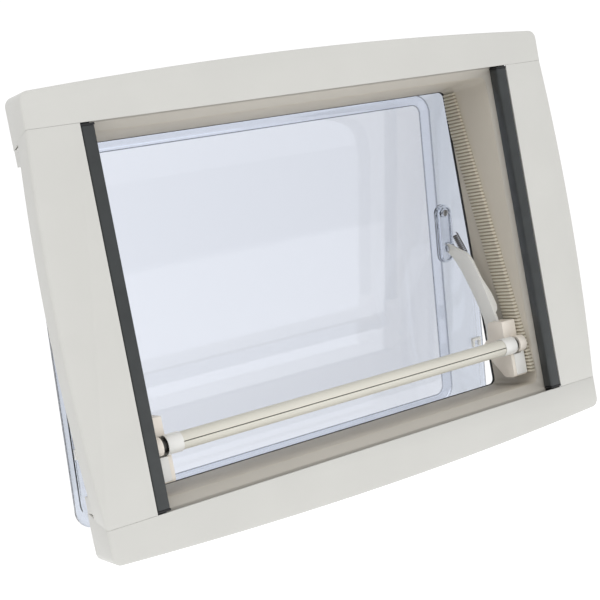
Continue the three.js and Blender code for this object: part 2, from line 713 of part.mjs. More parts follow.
// ---------------------------------------------------------------- arms
const armRun = [sliderPivotY - armPivotY, sliderPivotZ - armPivotZ];
const armLength = Math.hypot(...armRun);
const armTurn = Math.atan2(armRun[0], -armRun[1]);
// a swan neck in (Y, Z) along the arm, with its upper pivot at the origin and the room at -Y
const armShape = new THREE.Shape();
const neckStart = THREE.MathUtils.degToRad(-25);
const neckEnd = THREE.MathUtils.degToRad(133);
armShape.moveTo(armTopRadius * Math.cos(neckStart), armTopRadius * Math.sin(neckStart));
armShape.absarc(0, 0, armTopRadius, neckStart, neckEnd, false);
armShape.lineTo(-armOffset + 10, -19);
armShape.quadraticCurveTo(-armOffset + 1, -27, -armOffset, -40);
armShape.bezierCurveTo(-armOffset - 2, -75, -armOffset + 1, -110, -armOffset + 3, 36 - armLength);
armShape.bezierCurveTo(-armOffset + 5, 14 - armLength, -16, -armFootRadius - armLength, 0, -armFootRadius - armLength);
armShape.absarc(0, -armLength, armFootRadius, -Math.PI / 2, 0, false);
armShape.bezierCurveTo(armFootRadius, 19 - armLength, armWidth - armOffset, 30 - armLength,
  armWidth - armOffset, 59 - armLength);
armShape.bezierCurveTo(armWidth - armOffset, -75, -9, -50, -5, -30);
armShape.quadraticCurveTo(-2, -15, armTopRadius * Math.cos(neckStart), armTopRadius * Math.sin(neckStart));
const armInnerX = stayX - armThickness / 2;
// (X, Z) of the rim, which bulges outwards along the lower half of the arm
const armRimShape = new THREE.Shape();
armRimShape.moveTo(armInnerX, -30);
armRimShape.lineTo(armInnerX + armThickness, -60);
armRimShape.bezierCurveTo(armInnerX + armThickness, -80, armInnerX + armRimWidth, -85, armInnerX + armRimWidth,
  59 - armLength);
armRimShape.quadraticCurveTo(armInnerX + armRimWidth, 47 - armLength, armInnerX, 44 - armLength);
armRimShape.closePath();
const armRimBody = cut(
  prismX(armShape, armInnerX, armInnerX + armRimWidth),
  prismX(armShape, armInnerX - 1, armInnerX + armRimWidth + 1).translate([0, armRim, 0]),
).intersect(prismY(armRimShape, -2 * armOffset, 0, 8));
const armBody = join(prismX(armShape, armInnerX, armInnerX + armThickness), armRimBody)
  .rotate([THREE.MathUtils.radToDeg(armTurn), 0, 0])
  .translate([0, armPivotY, armPivotZ]);
const arm = cut(
  armBody,
  rod('x', [stayX, armPivotY, armPivotZ], pivotRadius + gap, 20, 16),
  rod('x', [stayX, sliderPivotY, sliderPivotZ], pivotRadius + gap, 20, 16),
);

// ---------------------------------------------------------------- crossbar, sliders and buttons
const shellInner = barRadius - barWall;
const innerTubeRadius = shellInner - gap;
const fullBar = cut(
  rod('x', [0, barY, barZ], barRadius, 2 * barHalfLength, 28),
  rod('x', [0, barY, barZ], shellInner, 2 * barHalfLength + 2, 28),
);
const barSide = (low, high) => box([-barHalfLength - 1, barHalfLength + 1], [barY - 20, barY + 20], [low, high]);
place('bar_shell_upper', fullBar.intersect(barSide(barZ + barSeam / 2, barZ + 20)), trimWhite);
place('bar_shell_lower', fullBar.intersect(barSide(barZ - 20, barZ - barSeam / 2)), trimWhite);
const collarX = [barHalfLength - collarOverlap, barHalfLength - collarOverlap + collarLength];
const tubeEnd = sliderOuterX - 4;
place('bar_tube', cut(
  rod('x', [0, barY, barZ], innerTubeRadius, 2 * tubeEnd, 20),
  rod('x', [0, barY, barZ], innerTubeRadius - tubeWall, 2 * tubeEnd + 2, 20),
), steel);

const collarMiddle = (collarX[0] + collarX[1]) / 2;
const collar = cut(
  rod('x', [collarMiddle, barY, barZ], collarRadius, collarX[1] - collarX[0], 28),
  rod('x', [collarMiddle, barY, barZ], barRadius + gap, 60, 28),
);

// (Y, Z) from the bar's axis
const sliderOutline = new THREE.Shape();
sliderOutline.moveTo(9, 35);
sliderOutline.lineTo(34, 35);
sliderOutline.quadraticCurveTo(39, 34, 40, 28);
sliderOutline.lineTo(43, 10);
sliderOutline.quadraticCurveTo(57, 4, 57, -8);
sliderOutline.quadraticCurveTo(57, -18, 46, -20);
sliderOutline.lineTo(24, -42);
sliderOutline.quadraticCurveTo(20, -46.5, 14, -46.5);
sliderOutline.lineTo(4, -46.5);
sliderOutline.quadraticCurveTo(-1.5, -46.5, -1.5, -41);
sliderOutline.lineTo(-1.5, -14);
sliderOutline.lineTo(7, 2);
sliderOutline.lineTo(7, 33);
sliderOutline.quadraticCurveTo(7, 35, 9, 35);

const socketX = [collarX[1] + socketGap, sliderOuterX];
const armSlot = [stayX - armThickness / 2 - 0.5, stayX + armThickness / 2 + 0.5];
const buttonX = [sliderOuterX - buttonWidth, sliderOuterX];
const buttonTopZ = barZ - collarRadius + 1.7;
const buttonZ = [buttonTopZ - buttonDrop, buttonTopZ];
const buttonFrontY = barY - 2.5;
const pawlZ = [barZ - 34, barZ - 26];
const pawlY = [barY + 12, barY + 22];
const pawlX = [sliderOuterX - 5, sliderOuterX + 0.3];
const slider = cut(
  join(
    prismX(sliderOutline, sliderInnerX, sliderOuterX).translate([0, barY, barZ]),
    rod('x', [(socketX[0] + socketX[1]) / 2, barY, barZ], collarRadius - 1, socketX[1] - socketX[0], 28),
  ),
  rod('x', [(sliderInnerX - 4 + socketX[0]) / 2, barY, barZ], collarRadius + gap, socketX[0] - sliderInnerX + 4, 28),
  rod('x', [(sliderInnerX + tubeEnd + gap) / 2, barY, barZ], innerTubeRadius + gap, tubeEnd + gap - sliderInnerX, 20),
  box(armSlot, [barY + 14, sliderPivotY + 33], [barZ - 58, barZ + 62]),
  rod('x', [stayX, sliderPivotY, sliderPivotZ], pivotRadius + gap, 60, 16),
  box([buttonX[0] - gap, buttonX[1] + 1], [barY - 20, buttonFrontY + buttonDepth + buttonTravel + gap],
    [buttonZ[0] - gap, buttonZ[1] + gap]),
  box([pawlX[0] - buttonTravel - gap, pawlX[1] + 1], [pawlY[0] - gap, pawlY[1] + gap],
    [pawlZ[0] - gap, pawlZ[1] + gap]),
);
const button = cut(
  box(buttonX, [buttonFrontY, buttonFrontY + buttonDepth], buttonZ),
  rod('x', [collarMiddle, barY, barZ], collarRadius + 2 * gap + 0.4, socketX[0] + 1 - collarMiddle + 30, 28),
);
const pawl = box(pawlX, pawlY, pawlZ);

for (const [name, side] of sides) {
  place(`${name}_arm`, mirrored(arm, side), operatorWhite);
  place(`${name}_collar`, mirrored(collar, side), operatorWhite);
  place(`${name}_slider`, mirrored(slider, side), operatorWhite);
  place(`${name}_button`, mirrored(button, side), operatorWhite);
  place(`${name}_pawl`, mirrored(pawl, side), operatorWhite);
  place(`${name}_pivot_pin`, mirrored(pin(sliderPivotY, sliderPivotZ, sliderInnerX - pinHead - gap,
    sliderOuterX - 1), side), steel);
}

export default object;
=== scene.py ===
"""Looks for the top-hung roof light: mouldings, clear acrylic, blinds, racks and its operator."""
import json
import math

import bmesh
import bpy
from mathutils import Matrix, Vector


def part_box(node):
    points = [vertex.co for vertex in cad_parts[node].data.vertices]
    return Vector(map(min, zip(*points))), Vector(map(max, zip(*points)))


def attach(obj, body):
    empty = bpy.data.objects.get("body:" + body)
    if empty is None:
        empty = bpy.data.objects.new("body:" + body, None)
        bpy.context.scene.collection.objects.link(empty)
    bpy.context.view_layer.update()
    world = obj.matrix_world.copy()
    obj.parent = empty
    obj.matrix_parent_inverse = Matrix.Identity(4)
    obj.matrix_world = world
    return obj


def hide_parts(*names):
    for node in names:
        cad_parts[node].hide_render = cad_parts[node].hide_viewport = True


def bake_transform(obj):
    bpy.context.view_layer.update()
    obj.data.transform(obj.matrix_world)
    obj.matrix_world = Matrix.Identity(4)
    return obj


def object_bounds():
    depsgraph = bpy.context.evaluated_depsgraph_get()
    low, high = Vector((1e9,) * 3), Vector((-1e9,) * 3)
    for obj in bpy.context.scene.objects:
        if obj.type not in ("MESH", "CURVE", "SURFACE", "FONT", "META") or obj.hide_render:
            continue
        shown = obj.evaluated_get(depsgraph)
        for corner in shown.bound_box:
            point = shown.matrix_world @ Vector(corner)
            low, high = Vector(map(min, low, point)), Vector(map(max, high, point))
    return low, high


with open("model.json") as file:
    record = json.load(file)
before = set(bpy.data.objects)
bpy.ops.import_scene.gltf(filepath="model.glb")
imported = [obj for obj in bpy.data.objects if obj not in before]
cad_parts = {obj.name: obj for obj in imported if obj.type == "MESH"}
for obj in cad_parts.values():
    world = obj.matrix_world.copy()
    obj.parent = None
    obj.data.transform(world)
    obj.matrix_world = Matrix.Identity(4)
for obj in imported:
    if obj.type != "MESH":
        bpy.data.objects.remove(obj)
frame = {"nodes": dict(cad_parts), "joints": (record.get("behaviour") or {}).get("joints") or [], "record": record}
cad_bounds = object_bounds()
joints = {joint["name"]: joint for joint in frame["joints"]}
MM = 0.001

# ---------------------------------------------------------------- places worked out from the frame
HINGE = Vector(joints["sash_hinge"]["pos_m"])
SASH_ANGLE = math.radians(-joints["sash_hinge"]["range_deg"][0])
SASH_TURN = Matrix.Rotation(SASH_ANGLE, 4, "X")
SHUT_TO_AJAR = Matrix.Translation(HINGE) @ SASH_TURN @ Matrix.Translation(-HINGE)
AJAR_TO_SHUT = SHUT_TO_AJAR.inverted()
SEAM_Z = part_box("left_cassette_cover")[1].z / MM
CASSETTE_INNER_X = -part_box("left_cassette_cover")[1].x / MM
RAIL_FRONT_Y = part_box("blackout_rail")[0].y / MM


# ---------------------------------------------------------------- camera, light and floor
CAMERA_PLACE = (-0.9230, -1.3770, 0.1004)
CAMERA_RIGHT = (0.8307, -0.5253, -0.1843)
CAMERA_BACK = (-0.5207, -0.8503, 0.0769)
CAMERA_SENSOR = 36  # millimetres, as the lens
CAMERA_LENS = 77.04


def add_camera():
    data = bpy.data.cameras.new("camera")
    data.sensor_width = CAMERA_SENSOR
    data.lens = CAMERA_LENS
    data.clip_end = 100
    camera = bpy.data.objects.new("camera", data)
    bpy.context.scene.collection.objects.link(camera)
    right = Vector(CAMERA_RIGHT).normalized()
    back = Vector(CAMERA_BACK).normalized()
    up = back.cross(right).normalized()
    right = up.cross(back)
    turn = Matrix((right, up, back)).transposed().to_4x4()
    camera.matrix_world = Matrix.Translation(CAMERA_PLACE) @ turn
    bpy.context.scene.camera = camera


def add_area(name, place, target, size, power, colour=(1, 1, 1)):
    data = bpy.data.lights.new(name, "AREA")
    data.shape = "RECTANGLE"
    data.size, data.size_y = size
    data.energy = power
    data.color = colour
    lamp = bpy.data.objects.new(name, data)
    lamp.location = place
    lamp.rotation_euler = (Vector(target) - Vector(place)).to_track_quat("-Z", "Y").to_euler()
    lamp.visible_glossy = False
    bpy.context.scene.collection.objects.link(lamp)


WORLD_FALL = (0.30, 0.75)  # how far to a side the light starts and stops weakening
WORLD_LIGHT = (1.0, 0.80)  # its strength at those two
WORLD_SEEN = 1.05  # strength of the white that the camera sees


def add_world():
    """Even white light, a little weaker from both sides; the camera itself sees plain white."""
    world = bpy.data.worlds.new("studio")
    bpy.context.scene.world = world
    world.use_nodes = True
    nodes, links = world.node_tree.nodes, world.node_tree.links
    nodes.clear()
    direction = nodes.new("ShaderNodeTexCoord")
    split = nodes.new("ShaderNodeSeparateXYZ")
    links.new(direction.outputs["Generated"], split.inputs["Vector"])
    sideways = nodes.new("ShaderNodeMath")
    sideways.operation = "ABSOLUTE"
    links.new(split.outputs["X"], sideways.inputs[0])
    fall = nodes.new("ShaderNodeMapRange")
    fall.inputs["From Min"].default_value, fall.inputs["From Max"].default_value = WORLD_FALL
    fall.inputs["To Min"].default_value, fall.inputs["To Max"].default_value = WORLD_LIGHT
    links.new(sideways.outputs[0], fall.inputs["Value"])
    soft = nodes.new("ShaderNodeBackground")
    soft.inputs["Color"].default_value = (0.975, 0.98, 1.0, 1)
    links.new(fall.outputs["Result"], soft.inputs["Strength"])
    plain = nodes.new("ShaderNodeBackground")
    plain.inputs["Color"].default_value = (1, 1, 1, 1)
    plain.inputs["Strength"].default_value = WORLD_SEEN
    path = nodes.new("ShaderNodeLightPath")
    mix = nodes.new("ShaderNodeMixShader")
    out = nodes.new("ShaderNodeOutputWorld")
    links.new(path.outputs["Is Camera Ray"], mix.inputs["Fac"])
    links.new(soft.outputs[0], mix.inputs[1])
    links.new(plain.outputs[0], mix.inputs[2])
    links.new(mix.outputs[0], out.inputs["Surface"])


FLOOR_REACH = 2.4  # from the middle to each edge
FLOOR_DROP = 0.55  # below the part
FLOOR_GLOW = 0.35


def add_floor():
    mesh = bpy.data.meshes.new("floor")
    depth = cad_bounds[0][2] - FLOOR_DROP
    signs = ((-1, -1), (1, -1), (1, 1), (-1, 1))
    corners = [(FLOOR_REACH * x, FLOOR_REACH * y, depth) for x, y in signs]
    mesh.from_pydata(corners, [], [(0, 1, 2, 3)])
    floor = bpy.data.objects.new("floor", mesh)
    bpy.context.scene.collection.objects.link(floor)
    paper = bpy.data.materials.new("floor_paper")
    paper.use_nodes = True
    shader = paper.node_tree.nodes["Principled BSDF"]
    shader.inputs["Base Color"].default_value = (1, 1, 1, 1)
    shader.inputs["Roughness"].default_value = 0.9
    shader.inputs["Emission Color"].default_value = (1, 1, 1, 1)
    shader.inputs["Emission Strength"].default_value = FLOOR_GLOW
    mesh.materials.append(paper)


# ---------------------------------------------------------------- materials
def linear(red, green, blue):
    def one(value):
        value /= 255
        return value / 12.92 if value <= 0.04045 else ((value + 0.055) / 1.055) ** 2.4
    return one(red), one(green), one(blue), 1


def new_material(name, colour, roughness, metallic=0.0):
    made = bpy.data.materials.new(name)
    made.use_nodes = True
    shader = made.node_tree.nodes["Principled BSDF"]
    shader.inputs["Base Color"].default_value = colour
    shader.inputs["Roughness"].default_value = roughness
    shader.inputs["Metallic"].default_value = metallic
    return made, made.node_tree.nodes, made.node_tree.links, shader


def noise(nodes, links, scale, detail=3.0, stretch=(1, 1, 1)):
    place = nodes.new("ShaderNodeTexCoord")
    mapping = nodes.new("ShaderNodeMapping")
    mapping.inputs["Scale"].default_value = stretch
    texture = nodes.new("ShaderNodeTexNoise")
    texture.inputs["Scale"].default_value = scale
    texture.inputs["Detail"].default_value = detail
    links.new(place.outputs["Object"], mapping.inputs["Vector"])
    links.new(mapping.outputs["Vector"], texture.inputs["Vector"])
    return texture.outputs["Fac"]


def tint_between(nodes, links, factor, low, high, target):
    ramp = nodes.new("ShaderNodeValToRGB")
    ramp.color_ramp.elements[0].position = 0.3
    ramp.color_ramp.elements[0].color = low
    ramp.color_ramp.elements[1].position = 0.7
    ramp.color_ramp.elements[1].color = high
    links.new(factor, ramp.inputs["Fac"])
    links.new(ramp.outputs["Color"], target)


def vary(nodes, links, factor, low, high, target):
    span = nodes.new("ShaderNodeMapRange")
    span.inputs["To Min"].default_value = low
    span.inputs["To Max"].default_value = high
    links.new(factor, span.inputs["Value"])
    links.new(span.outputs["Result"], target)


def bump(nodes, links, factor, distance, strength, shader):
    node = nodes.new("ShaderNodeBump")
    node.inputs["Distance"].default_value = distance
    node.inputs["Strength"].default_value = strength
    links.new(factor, node.inputs["Height"])
    links.new(node.outputs["Normal"], shader.inputs["Normal"])


def shade(colour, by):
    return tuple(channel * by for channel in colour[:3]) + (1,)


def plastic(name, colour, roughness, grain=1400, relief=0.25, coat=0.0):
    """A satin moulding: fine spark-eroded grain, a broad faint flow of tone, a varying gloss."""
    made, nodes, links, shader = new_material(name, colour, roughness)
    broad = noise(nodes, links, 9, 2)
    tint_between(nodes, links, broad, shade(colour, 0.975), shade(colour, 1.015),
                 shader.inputs["Base Color"])
    fine = noise(nodes, links, grain, 2)
    gloss = noise(nodes, links, 60, 4)
    vary(nodes, links, gloss, roughness - 0.05, roughness + 0.06, shader.inputs["Roughness"])
    bump(nodes, links, fine, 0.00006, relief, shader)
    shader.inputs["Coat Weight"].default_value = coat
    shader.inputs["Coat Roughness"].default_value = 0.25
    shader.inputs["Specular IOR Level"].default_value = 0.45
    return made


RIB_PITCH = 0.005
RIB_CREST = 0.55  # share of the pitch that is rib
# painted shade: the tone that the grooves between the ribs are darkened by
GROOVE_SHADE = (0.52, 0.49, 0.44, 1)


def ribbed_with_groove_shade(name, colour, roughness):
    """A satin moulding with painted shade in the grooves between its ribs: a darker stripe at each rib pitch up
    the rack.
    """
    made = plastic(name, colour, roughness)
    nodes, links = made.node_tree.nodes, made.node_tree.links
    shader = nodes["Principled BSDF"]
    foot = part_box("left_rack")[0].z
    place = nodes.new("ShaderNodeTexCoord")
    split = nodes.new("ShaderNodeSeparateXYZ")
    links.new(place.outputs["Object"], split.inputs["Vector"])
    height = nodes.new("ShaderNodeMapRange")
    height.clamp = False
    height.inputs["From Min"].default_value = foot
    height.inputs["From Max"].default_value = foot + RIB_PITCH
    links.new(split.outputs["Z"], height.inputs["Value"])
    phase = nodes.new("ShaderNodeMath")
    phase.operation = "FRACT"
    links.new(height.outputs["Result"], phase.inputs[0])
    ramp = nodes.new("ShaderNodeValToRGB")
    ramp.color_ramp.elements[0].position = RIB_CREST
    ramp.color_ramp.elements[0].color = (1, 1, 1, 1)
    ramp.color_ramp.elements[1].position = RIB_CREST + 0.06
    ramp.color_ramp.elements[1].color = GROOVE_SHADE
    links.new(phase.outputs[0], ramp.inputs["Fac"])
    # multiplies the painted groove shade into the base colour
    mix = nodes.new("ShaderNodeMix")
    mix.data_type = "RGBA"
    mix.blend_type = "MULTIPLY"
    mix.inputs["Factor"].default_value = 1.0
    links.new(shader.inputs["Base Color"].links[0].from_socket, mix.inputs["A"])
    links.new(ramp.outputs["Color"], mix.inputs["B"])
    links.new(mix.outputs["Result"], shader.inputs["Base Color"])
    return made


def rubber(name, colour):
    made, nodes, links, shader = new_material(name, colour, 0.62)
    tint_between(nodes, links, noise(nodes, links, 140, 5), shade(colour, 0.75), shade(colour, 1.35),
                 shader.inputs["Base Color"])
    bump(nodes, links, noise(nodes, links, 900, 3), 0.0002, 0.35, shader)
    shader.inputs["Sheen Weight"].default_value = 0.15
    return made


def metal(name, colour, roughness, stretch=(1, 1, 1)):
    """Drawn or plated metal: long fine lines along the least stretched axis."""
    made, nodes, links, shader = new_material(name, colour, roughness, 1.0)
    lines = noise(nodes, links, 500, 4, stretch)
    vary(nodes, links, lines, roughness - 0.08, roughness + 0.12, shader.inputs["Roughness"])
    tint_between(nodes, links, lines, shade(colour, 0.9), shade(colour, 1.04),
                 shader.inputs["Base Color"])
    bump(nodes, links, lines, 0.00003, 0.15, shader)
    return made


def powder(name, colour, roughness):
    made, nodes, links, shader = new_material(name, colour, roughness, 0.15)
    tint_between(nodes, links, noise(nodes, links, 40, 3), shade(colour, 0.88), shade(colour, 1.12),
                 shader.inputs["Base Color"])
    bump(nodes, links, noise(nodes, links, 2200, 2), 0.0001, 0.3, shader)
    return made


def acrylic(name, colour, roughness):
    made, nodes, links, shader = new_material(name, colour, roughness)
    shader.inputs["Transmission Weight"].default_value = 1.0
    shader.inputs["IOR"].default_value = 1.49
    bump(nodes, links, noise(nodes, links, 5, 1), 0.0006, 0.08, shader)
    return made


def cloth(name, colour, thread=0.0006, shine=0.0):
    """A woven blind fabric with its threads running up and across the folds."""
    made, nodes, links, shader = new_material(name, colour, 0.75, shine)
    place = nodes.new("ShaderNodeTexCoord")
    heights = []
    for direction in ("X", "Z"):
        wave = nodes.new("ShaderNodeTexWave")
        wave.bands_direction = direction
        wave.inputs["Scale"].default_value = 0.31 / thread
        wave.inputs["Distortion"].default_value = 0.4
        links.new(place.outputs["Object"], wave.inputs["Vector"])
        heights.append(wave.outputs["Fac"])
    weave = nodes.new("ShaderNodeMath")
    weave.operation = "MULTIPLY"
    links.new(heights[0], weave.inputs[0])
    links.new(heights[1], weave.inputs[1])
    tint_between(nodes, links, weave.outputs[0], shade(colour, 0.8), shade(colour, 1.1),
                 shader.inputs["Base Color"])
    bump(nodes, links, weave.outputs[0], thread * 0.3, 0.5, shader)
    shader.inputs["Sheen Weight"].default_value = 0.25
    return made


PAINT = {
    "trim": plastic("trim_satin", linear(205, 204, 198), 0.42),
    "liner": plastic("liner_satin", linear(192, 187, 177), 0.48),
    "tub": plastic("tub_satin", linear(196, 189, 176), 0.5),
    "outer": plastic("outer_frame_matt", linear(212, 211, 204), 0.55, grain=900, relief=0.35),
    "rack": ribbed_with_groove_shade("rack_cream", linear(208, 201, 184), 0.45),
    "operator": plastic("operator_white", linear(232, 231, 226), 0.36, relief=0.15, coat=0.1),
    "slider": plastic("slider_ivory", linear(240, 232, 220), 0.4, relief=0.15),
    "shell": plastic("bar_shell_satin", linear(219, 216, 204), 0.38, relief=0.15),
    "seal": rubber("seal_rubber", linear(30, 30, 33)),
    "rail": powder("rail_grey", linear(52, 55, 55), 0.38),
    "shoe": plastic("shoe_black", linear(26, 26, 27), 0.5, relief=0.3),
    "steel": metal("plated_steel", linear(196, 198, 201), 0.28),
    # the drawn aluminium tube is painted dark so the bar's seam shows dark: painted shade
    "shaded_tube": metal("drawn_tube_painted_shade", linear(92, 91, 89), 0.4, (1, 40, 40)),
    "spring": metal("spring_wire", linear(98, 92, 87), 0.4),
    "pane": acrylic("clear_acrylic", linear(243, 245, 249), 0.03),
    # darker copies of the clear acrylic for the inner pane's margin, slope and creases: painted shade
    "pane_margin_shaded": acrylic("margin_shaded_acrylic", linear(226, 230, 236), 0.03),
    "pane_slope_shaded": acrylic("slope_shaded_acrylic", linear(222, 227, 237), 0.03),
    "crease_shade": acrylic("crease_shade_acrylic", linear(140, 145, 155), 0.1),
    "bracket": acrylic("bracket_acrylic", linear(238, 240, 244), 0.06),
    # darker copy of the bracket's clear acrylic for its cut edges: painted shade
    "bracket_edge_shade": acrylic("bracket_edge_shade_acrylic", linear(158, 163, 172), 0.12),
    "blackout": cloth("blackout_weave", linear(196, 198, 201), shine=0.25),
    "screen": cloth("screen_mesh", linear(98, 100, 102), thread=0.0011),
}

CAD_SLOTS = {
    "trim_white": "trim", "liner_beige": "liner", "frame_plastic": "outer", "seal_rubber": "seal",
    "rail_grey": "rail", "shoe_black": "shoe", "blackout_fabric": "blackout", "screen_fabric": "screen",
    "rack_cream": "rack", "operator_white": "operator", "tube_aluminium": "shaded_tube", "steel": "steel",
    "spring_steel": "spring", "clear_acrylic": "pane", "bracket_clear": "bracket",
}
SLOT_OF = {part["node"]: part["material_slot"] for part in frame["record"]["subparts"]}
BODIES = frame["record"]["behaviour"]["bodies"]
BODY_OF = {node: body for body, members in BODIES.items() for node in members}
SPECIAL_PAINT = {
    "tub_frame": "tub", "bar_shell_lower": "shell", "bar_shell_upper": "shell",
    "left_slider": "slider", "right_slider": "slider",
}


def paint_of(node):
    return PAINT[SPECIAL_PAINT.get(node, CAD_SLOTS[SLOT_OF[node]])]


# ---------------------------------------------------------------- pieces
SHARP_FROM = 28  # degrees between two faces from which their edge is rounded


def finish_piece(piece, node, rides=True, painted=False):
    """Gives a piece its paint and its body, and hides the CAD node that it stands for."""
    if not painted:
        piece.data.materials.clear()
        piece.data.materials.append(paint_of(node))
    if rides:
        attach(piece, BODY_OF[node])
    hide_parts(node)
    return piece


def piece_from(bm, name):
    mesh = bpy.data.meshes.new(name)
    bm.to_mesh(mesh)
    bm.free()
    piece = bpy.data.objects.new(name, mesh)
    bpy.context.scene.collection.objects.link(piece)
    return piece


def smooth(piece, degrees=35):
    mesh = piece.data
    mesh.shade_smooth()
    bpy.context.view_layer.objects.active = piece
    for other in bpy.context.selected_objects:
        other.select_set(False)
    piece.select_set(True)
    bpy.ops.object.shade_smooth_by_angle(angle=math.radians(degrees))
    for modifier in list(piece.modifiers):
        bpy.ops.object.modifier_apply(modifier=modifier.name)
    return piece


def clean_copy(node):
    """A CAD node's solid with its flat faces whole again, ready for rounding."""
    bm = bmesh.new()
    bm.from_mesh(frame["nodes"][node].data)
    bmesh.ops.remove_doubles(bm, verts=bm.verts, dist=1e-6)
    bmesh.ops.dissolve_limit(bm, angle_limit=math.radians(0.4), verts=bm.verts, edges=bm.edges)
    return bm


def is_sharp(edge):
    return len(edge.link_faces) == 2 and edge.calc_face_angle(0) > math.radians(SHARP_FROM)


def round_edges(bm, chosen, width, segments):
    if chosen:
        bmesh.ops.bevel(bm, geom=chosen, offset=width, offset_type="OFFSET", segments=segments,
                        profile=0.5, affect="EDGES", clamp_overlap=True)


def moulded(node, radius, segments, wide=None):
    """Stands for a CAD node with its edges rounded, radius in millimetres.
    wide is (test, radius, segments) for its broad edges."""
    bm = clean_copy(node)
    if wide:
        test, wide_radius, wide_segments = wide
        sharp = [edge for edge in bm.edges if is_sharp(edge)]
        chosen = [edge for edge in sharp if test(*[vertex.co / MM for vertex in edge.verts])]
        round_edges(bm, chosen, wide_radius * MM, wide_segments)
    round_edges(bm, [edge for edge in bm.edges if is_sharp(edge)], radius * MM, segments)
    return finish_piece(smooth(piece_from(bm, node + "_finish")), node)


def edge_shaded(piece):
    """Clear plastic looks dark through its cut edges; that darkness is painted shade here.
    Every face that isn't along the sash gets the darker edge paint."""
    piece.data.materials.append(PAINT["bracket_edge_shade"])
    outwards = SHUT_TO_AJAR.to_3x3() @ Vector((0, 1, 0))
    for face in piece.data.polygons:
        if abs(face.normal.dot(outwards)) < 0.8:
            face.material_index = 1


# ---------------------------------------------------------------- acrylic skins
SHEET = 3  # thickness of each skin, in millimetres
SASH_CORNER = 24  # corner radius of each skin's outer edge
FIELD_MARGIN_X = 82  # flat margin beside the inner pane's raised field
FIELD_MARGIN_Z = 35
FIELD_SLOPE = 13  # width of the slope round the field
FIELD_RISE = 5
FIELD_CORNER = 14
SLOPE_STEPS = 8
DOME_FLANGE = 12
DOME_SHOULDER = 92  # width of the dome's curved shoulder
DOME_STEPS = 14
CORNER_STEPS = 10


def rounded_ring(half_width, bottom, top, radius, y):
    """Points of a rounded rectangle in the shut sash's frame, all at depth y, in millimetres."""
    radius = max(6, min(radius, half_width - 1, (top - bottom) / 2 - 1))
    corners = (
        (half_width - radius, bottom + radius, -90), (half_width - radius, top - radius, 0),
        (-half_width + radius, top - radius, 90), (-half_width + radius, bottom + radius, 180),
    )
    points = []
    for x, z, start in corners:
        for step in range(CORNER_STEPS + 1):
            angle = math.radians(start + 90 * step / CORNER_STEPS)
            points.append(Vector((x + radius * math.cos(angle), y, z + radius * math.sin(angle))) * MM)
    return points


def skin(name, node, stations, bands):
    """A sheet through rounded rectangles from its edge inwards.
    It is closed in the middle and thickened outwards.
    bands names the paint of each strip between two rectangles, and last of the middle."""
    bm = bmesh.new()
    rings = [[bm.verts.new(point) for point in rounded_ring(*station)] for station in stations]
    count = len(rings[0])
    paints = list(dict.fromkeys(bands))
    for outer, inner, band in zip(rings, rings[1:], bands):
        for i in range(count):
            j = (i + 1) % count
            bm.faces.new((outer[i], outer[j], inner[j], inner[i])).material_index = paints.index(band)
    bm.faces.new(rings[-1]).material_index = paints.index(bands[-1])
    bmesh.ops.recalc_face_normals(bm, faces=bm.faces)
    bm.faces.ensure_lookup_table()
    if bm.faces[-1].normal.y < 0:
        bmesh.ops.reverse_faces(bm, faces=bm.faces[:])
    bm.transform(SHUT_TO_AJAR)
    piece = piece_from(bm, name)
    for paint in paints:
        piece.data.materials.append(PAINT[paint])
    thick = piece.modifiers.new("thickness", "SOLIDIFY")
    thick.thickness = SHEET * MM
    thick.offset = 1.0
    edge = piece.modifiers.new("edge", "BEVEL")
    edge.width = 0.5 * MM
    edge.segments = 2
    edge.limit_method = "ANGLE"
    edge.angle_limit = math.radians(60)
    smooth(piece, 40)
    return finish_piece(piece, node, painted=True)


def shut_box(node):
    """A sash node's corners when the sash is shut, in millimetres."""
    places = [AJAR_TO_SHUT @ vertex.co / MM for vertex in frame["nodes"][node].data.vertices]
    low = Vector([min(place[axis] for place in places) for axis in range(3)])
    high = Vector([max(place[axis] for place in places) for axis in range(3)])
    return low, high


def add_acrylic():
    low, high = shut_box("inner_pane")
    half_width, bottom, top, inner_y = high.x, low.z, high.z, low.y
    field_bottom, field_top = bottom + FIELD_MARGIN_Z, top - FIELD_MARGIN_Z

    def inside(inset, radius, y):
        return half_width - inset, bottom + inset, top - inset, radius, y

    def field(grow, y):
        side = half_width - FIELD_MARGIN_X + grow
        return side, field_bottom - grow, field_top + grow, FIELD_CORNER + grow, y

    margin = [inside(inset, SASH_CORNER - inset / 2, inner_y) for inset in (0, 3, 9, 16)]
    slope = [field(FIELD_SLOPE + 1.4, inner_y)]
    for step in range(SLOPE_STEPS + 1):
        t = step / SLOPE_STEPS
        eased = t * t * (3 - 2 * t)
        slope.append(field(FIELD_SLOPE * (1 - t), inner_y + FIELD_RISE * eased))
    flat = [field(-inset, inner_y + FIELD_RISE) for inset in (1.3, 4, 40, 120)]
    # the margin, slope and creases get the darker acrylic copies: painted shade
    bands = ["pane_margin_shaded"] * len(margin) + ["crease_shade"] + ["pane_slope_shaded"] * SLOPE_STEPS
    bands += ["crease_shade"] + ["pane"] * len(flat)
    skin("inner_pane_finish", "inner_pane", margin + slope + flat, bands)

    low, high = shut_box("outer_dome")
    height = high.y - low.y - SHEET
    stations = [inside(inset, SASH_CORNER, low.y) for inset in (0, 4, 9)]
    for step in range(1, DOME_STEPS + 1):
        t = step / DOME_STEPS
        inset = DOME_FLANGE + DOME_SHOULDER * t ** 1.6
        lift = height * (1 - (1 - t) ** 2.3)
        stations.append(inside(inset, SASH_CORNER + inset * 0.35, low.y + lift))
    stations += [inside(inset, 60, low.y + height) for inset in (140, 190, 235)]
    skin("outer_dome_finish", "outer_dome", stations, ["pane"] * len(stations))


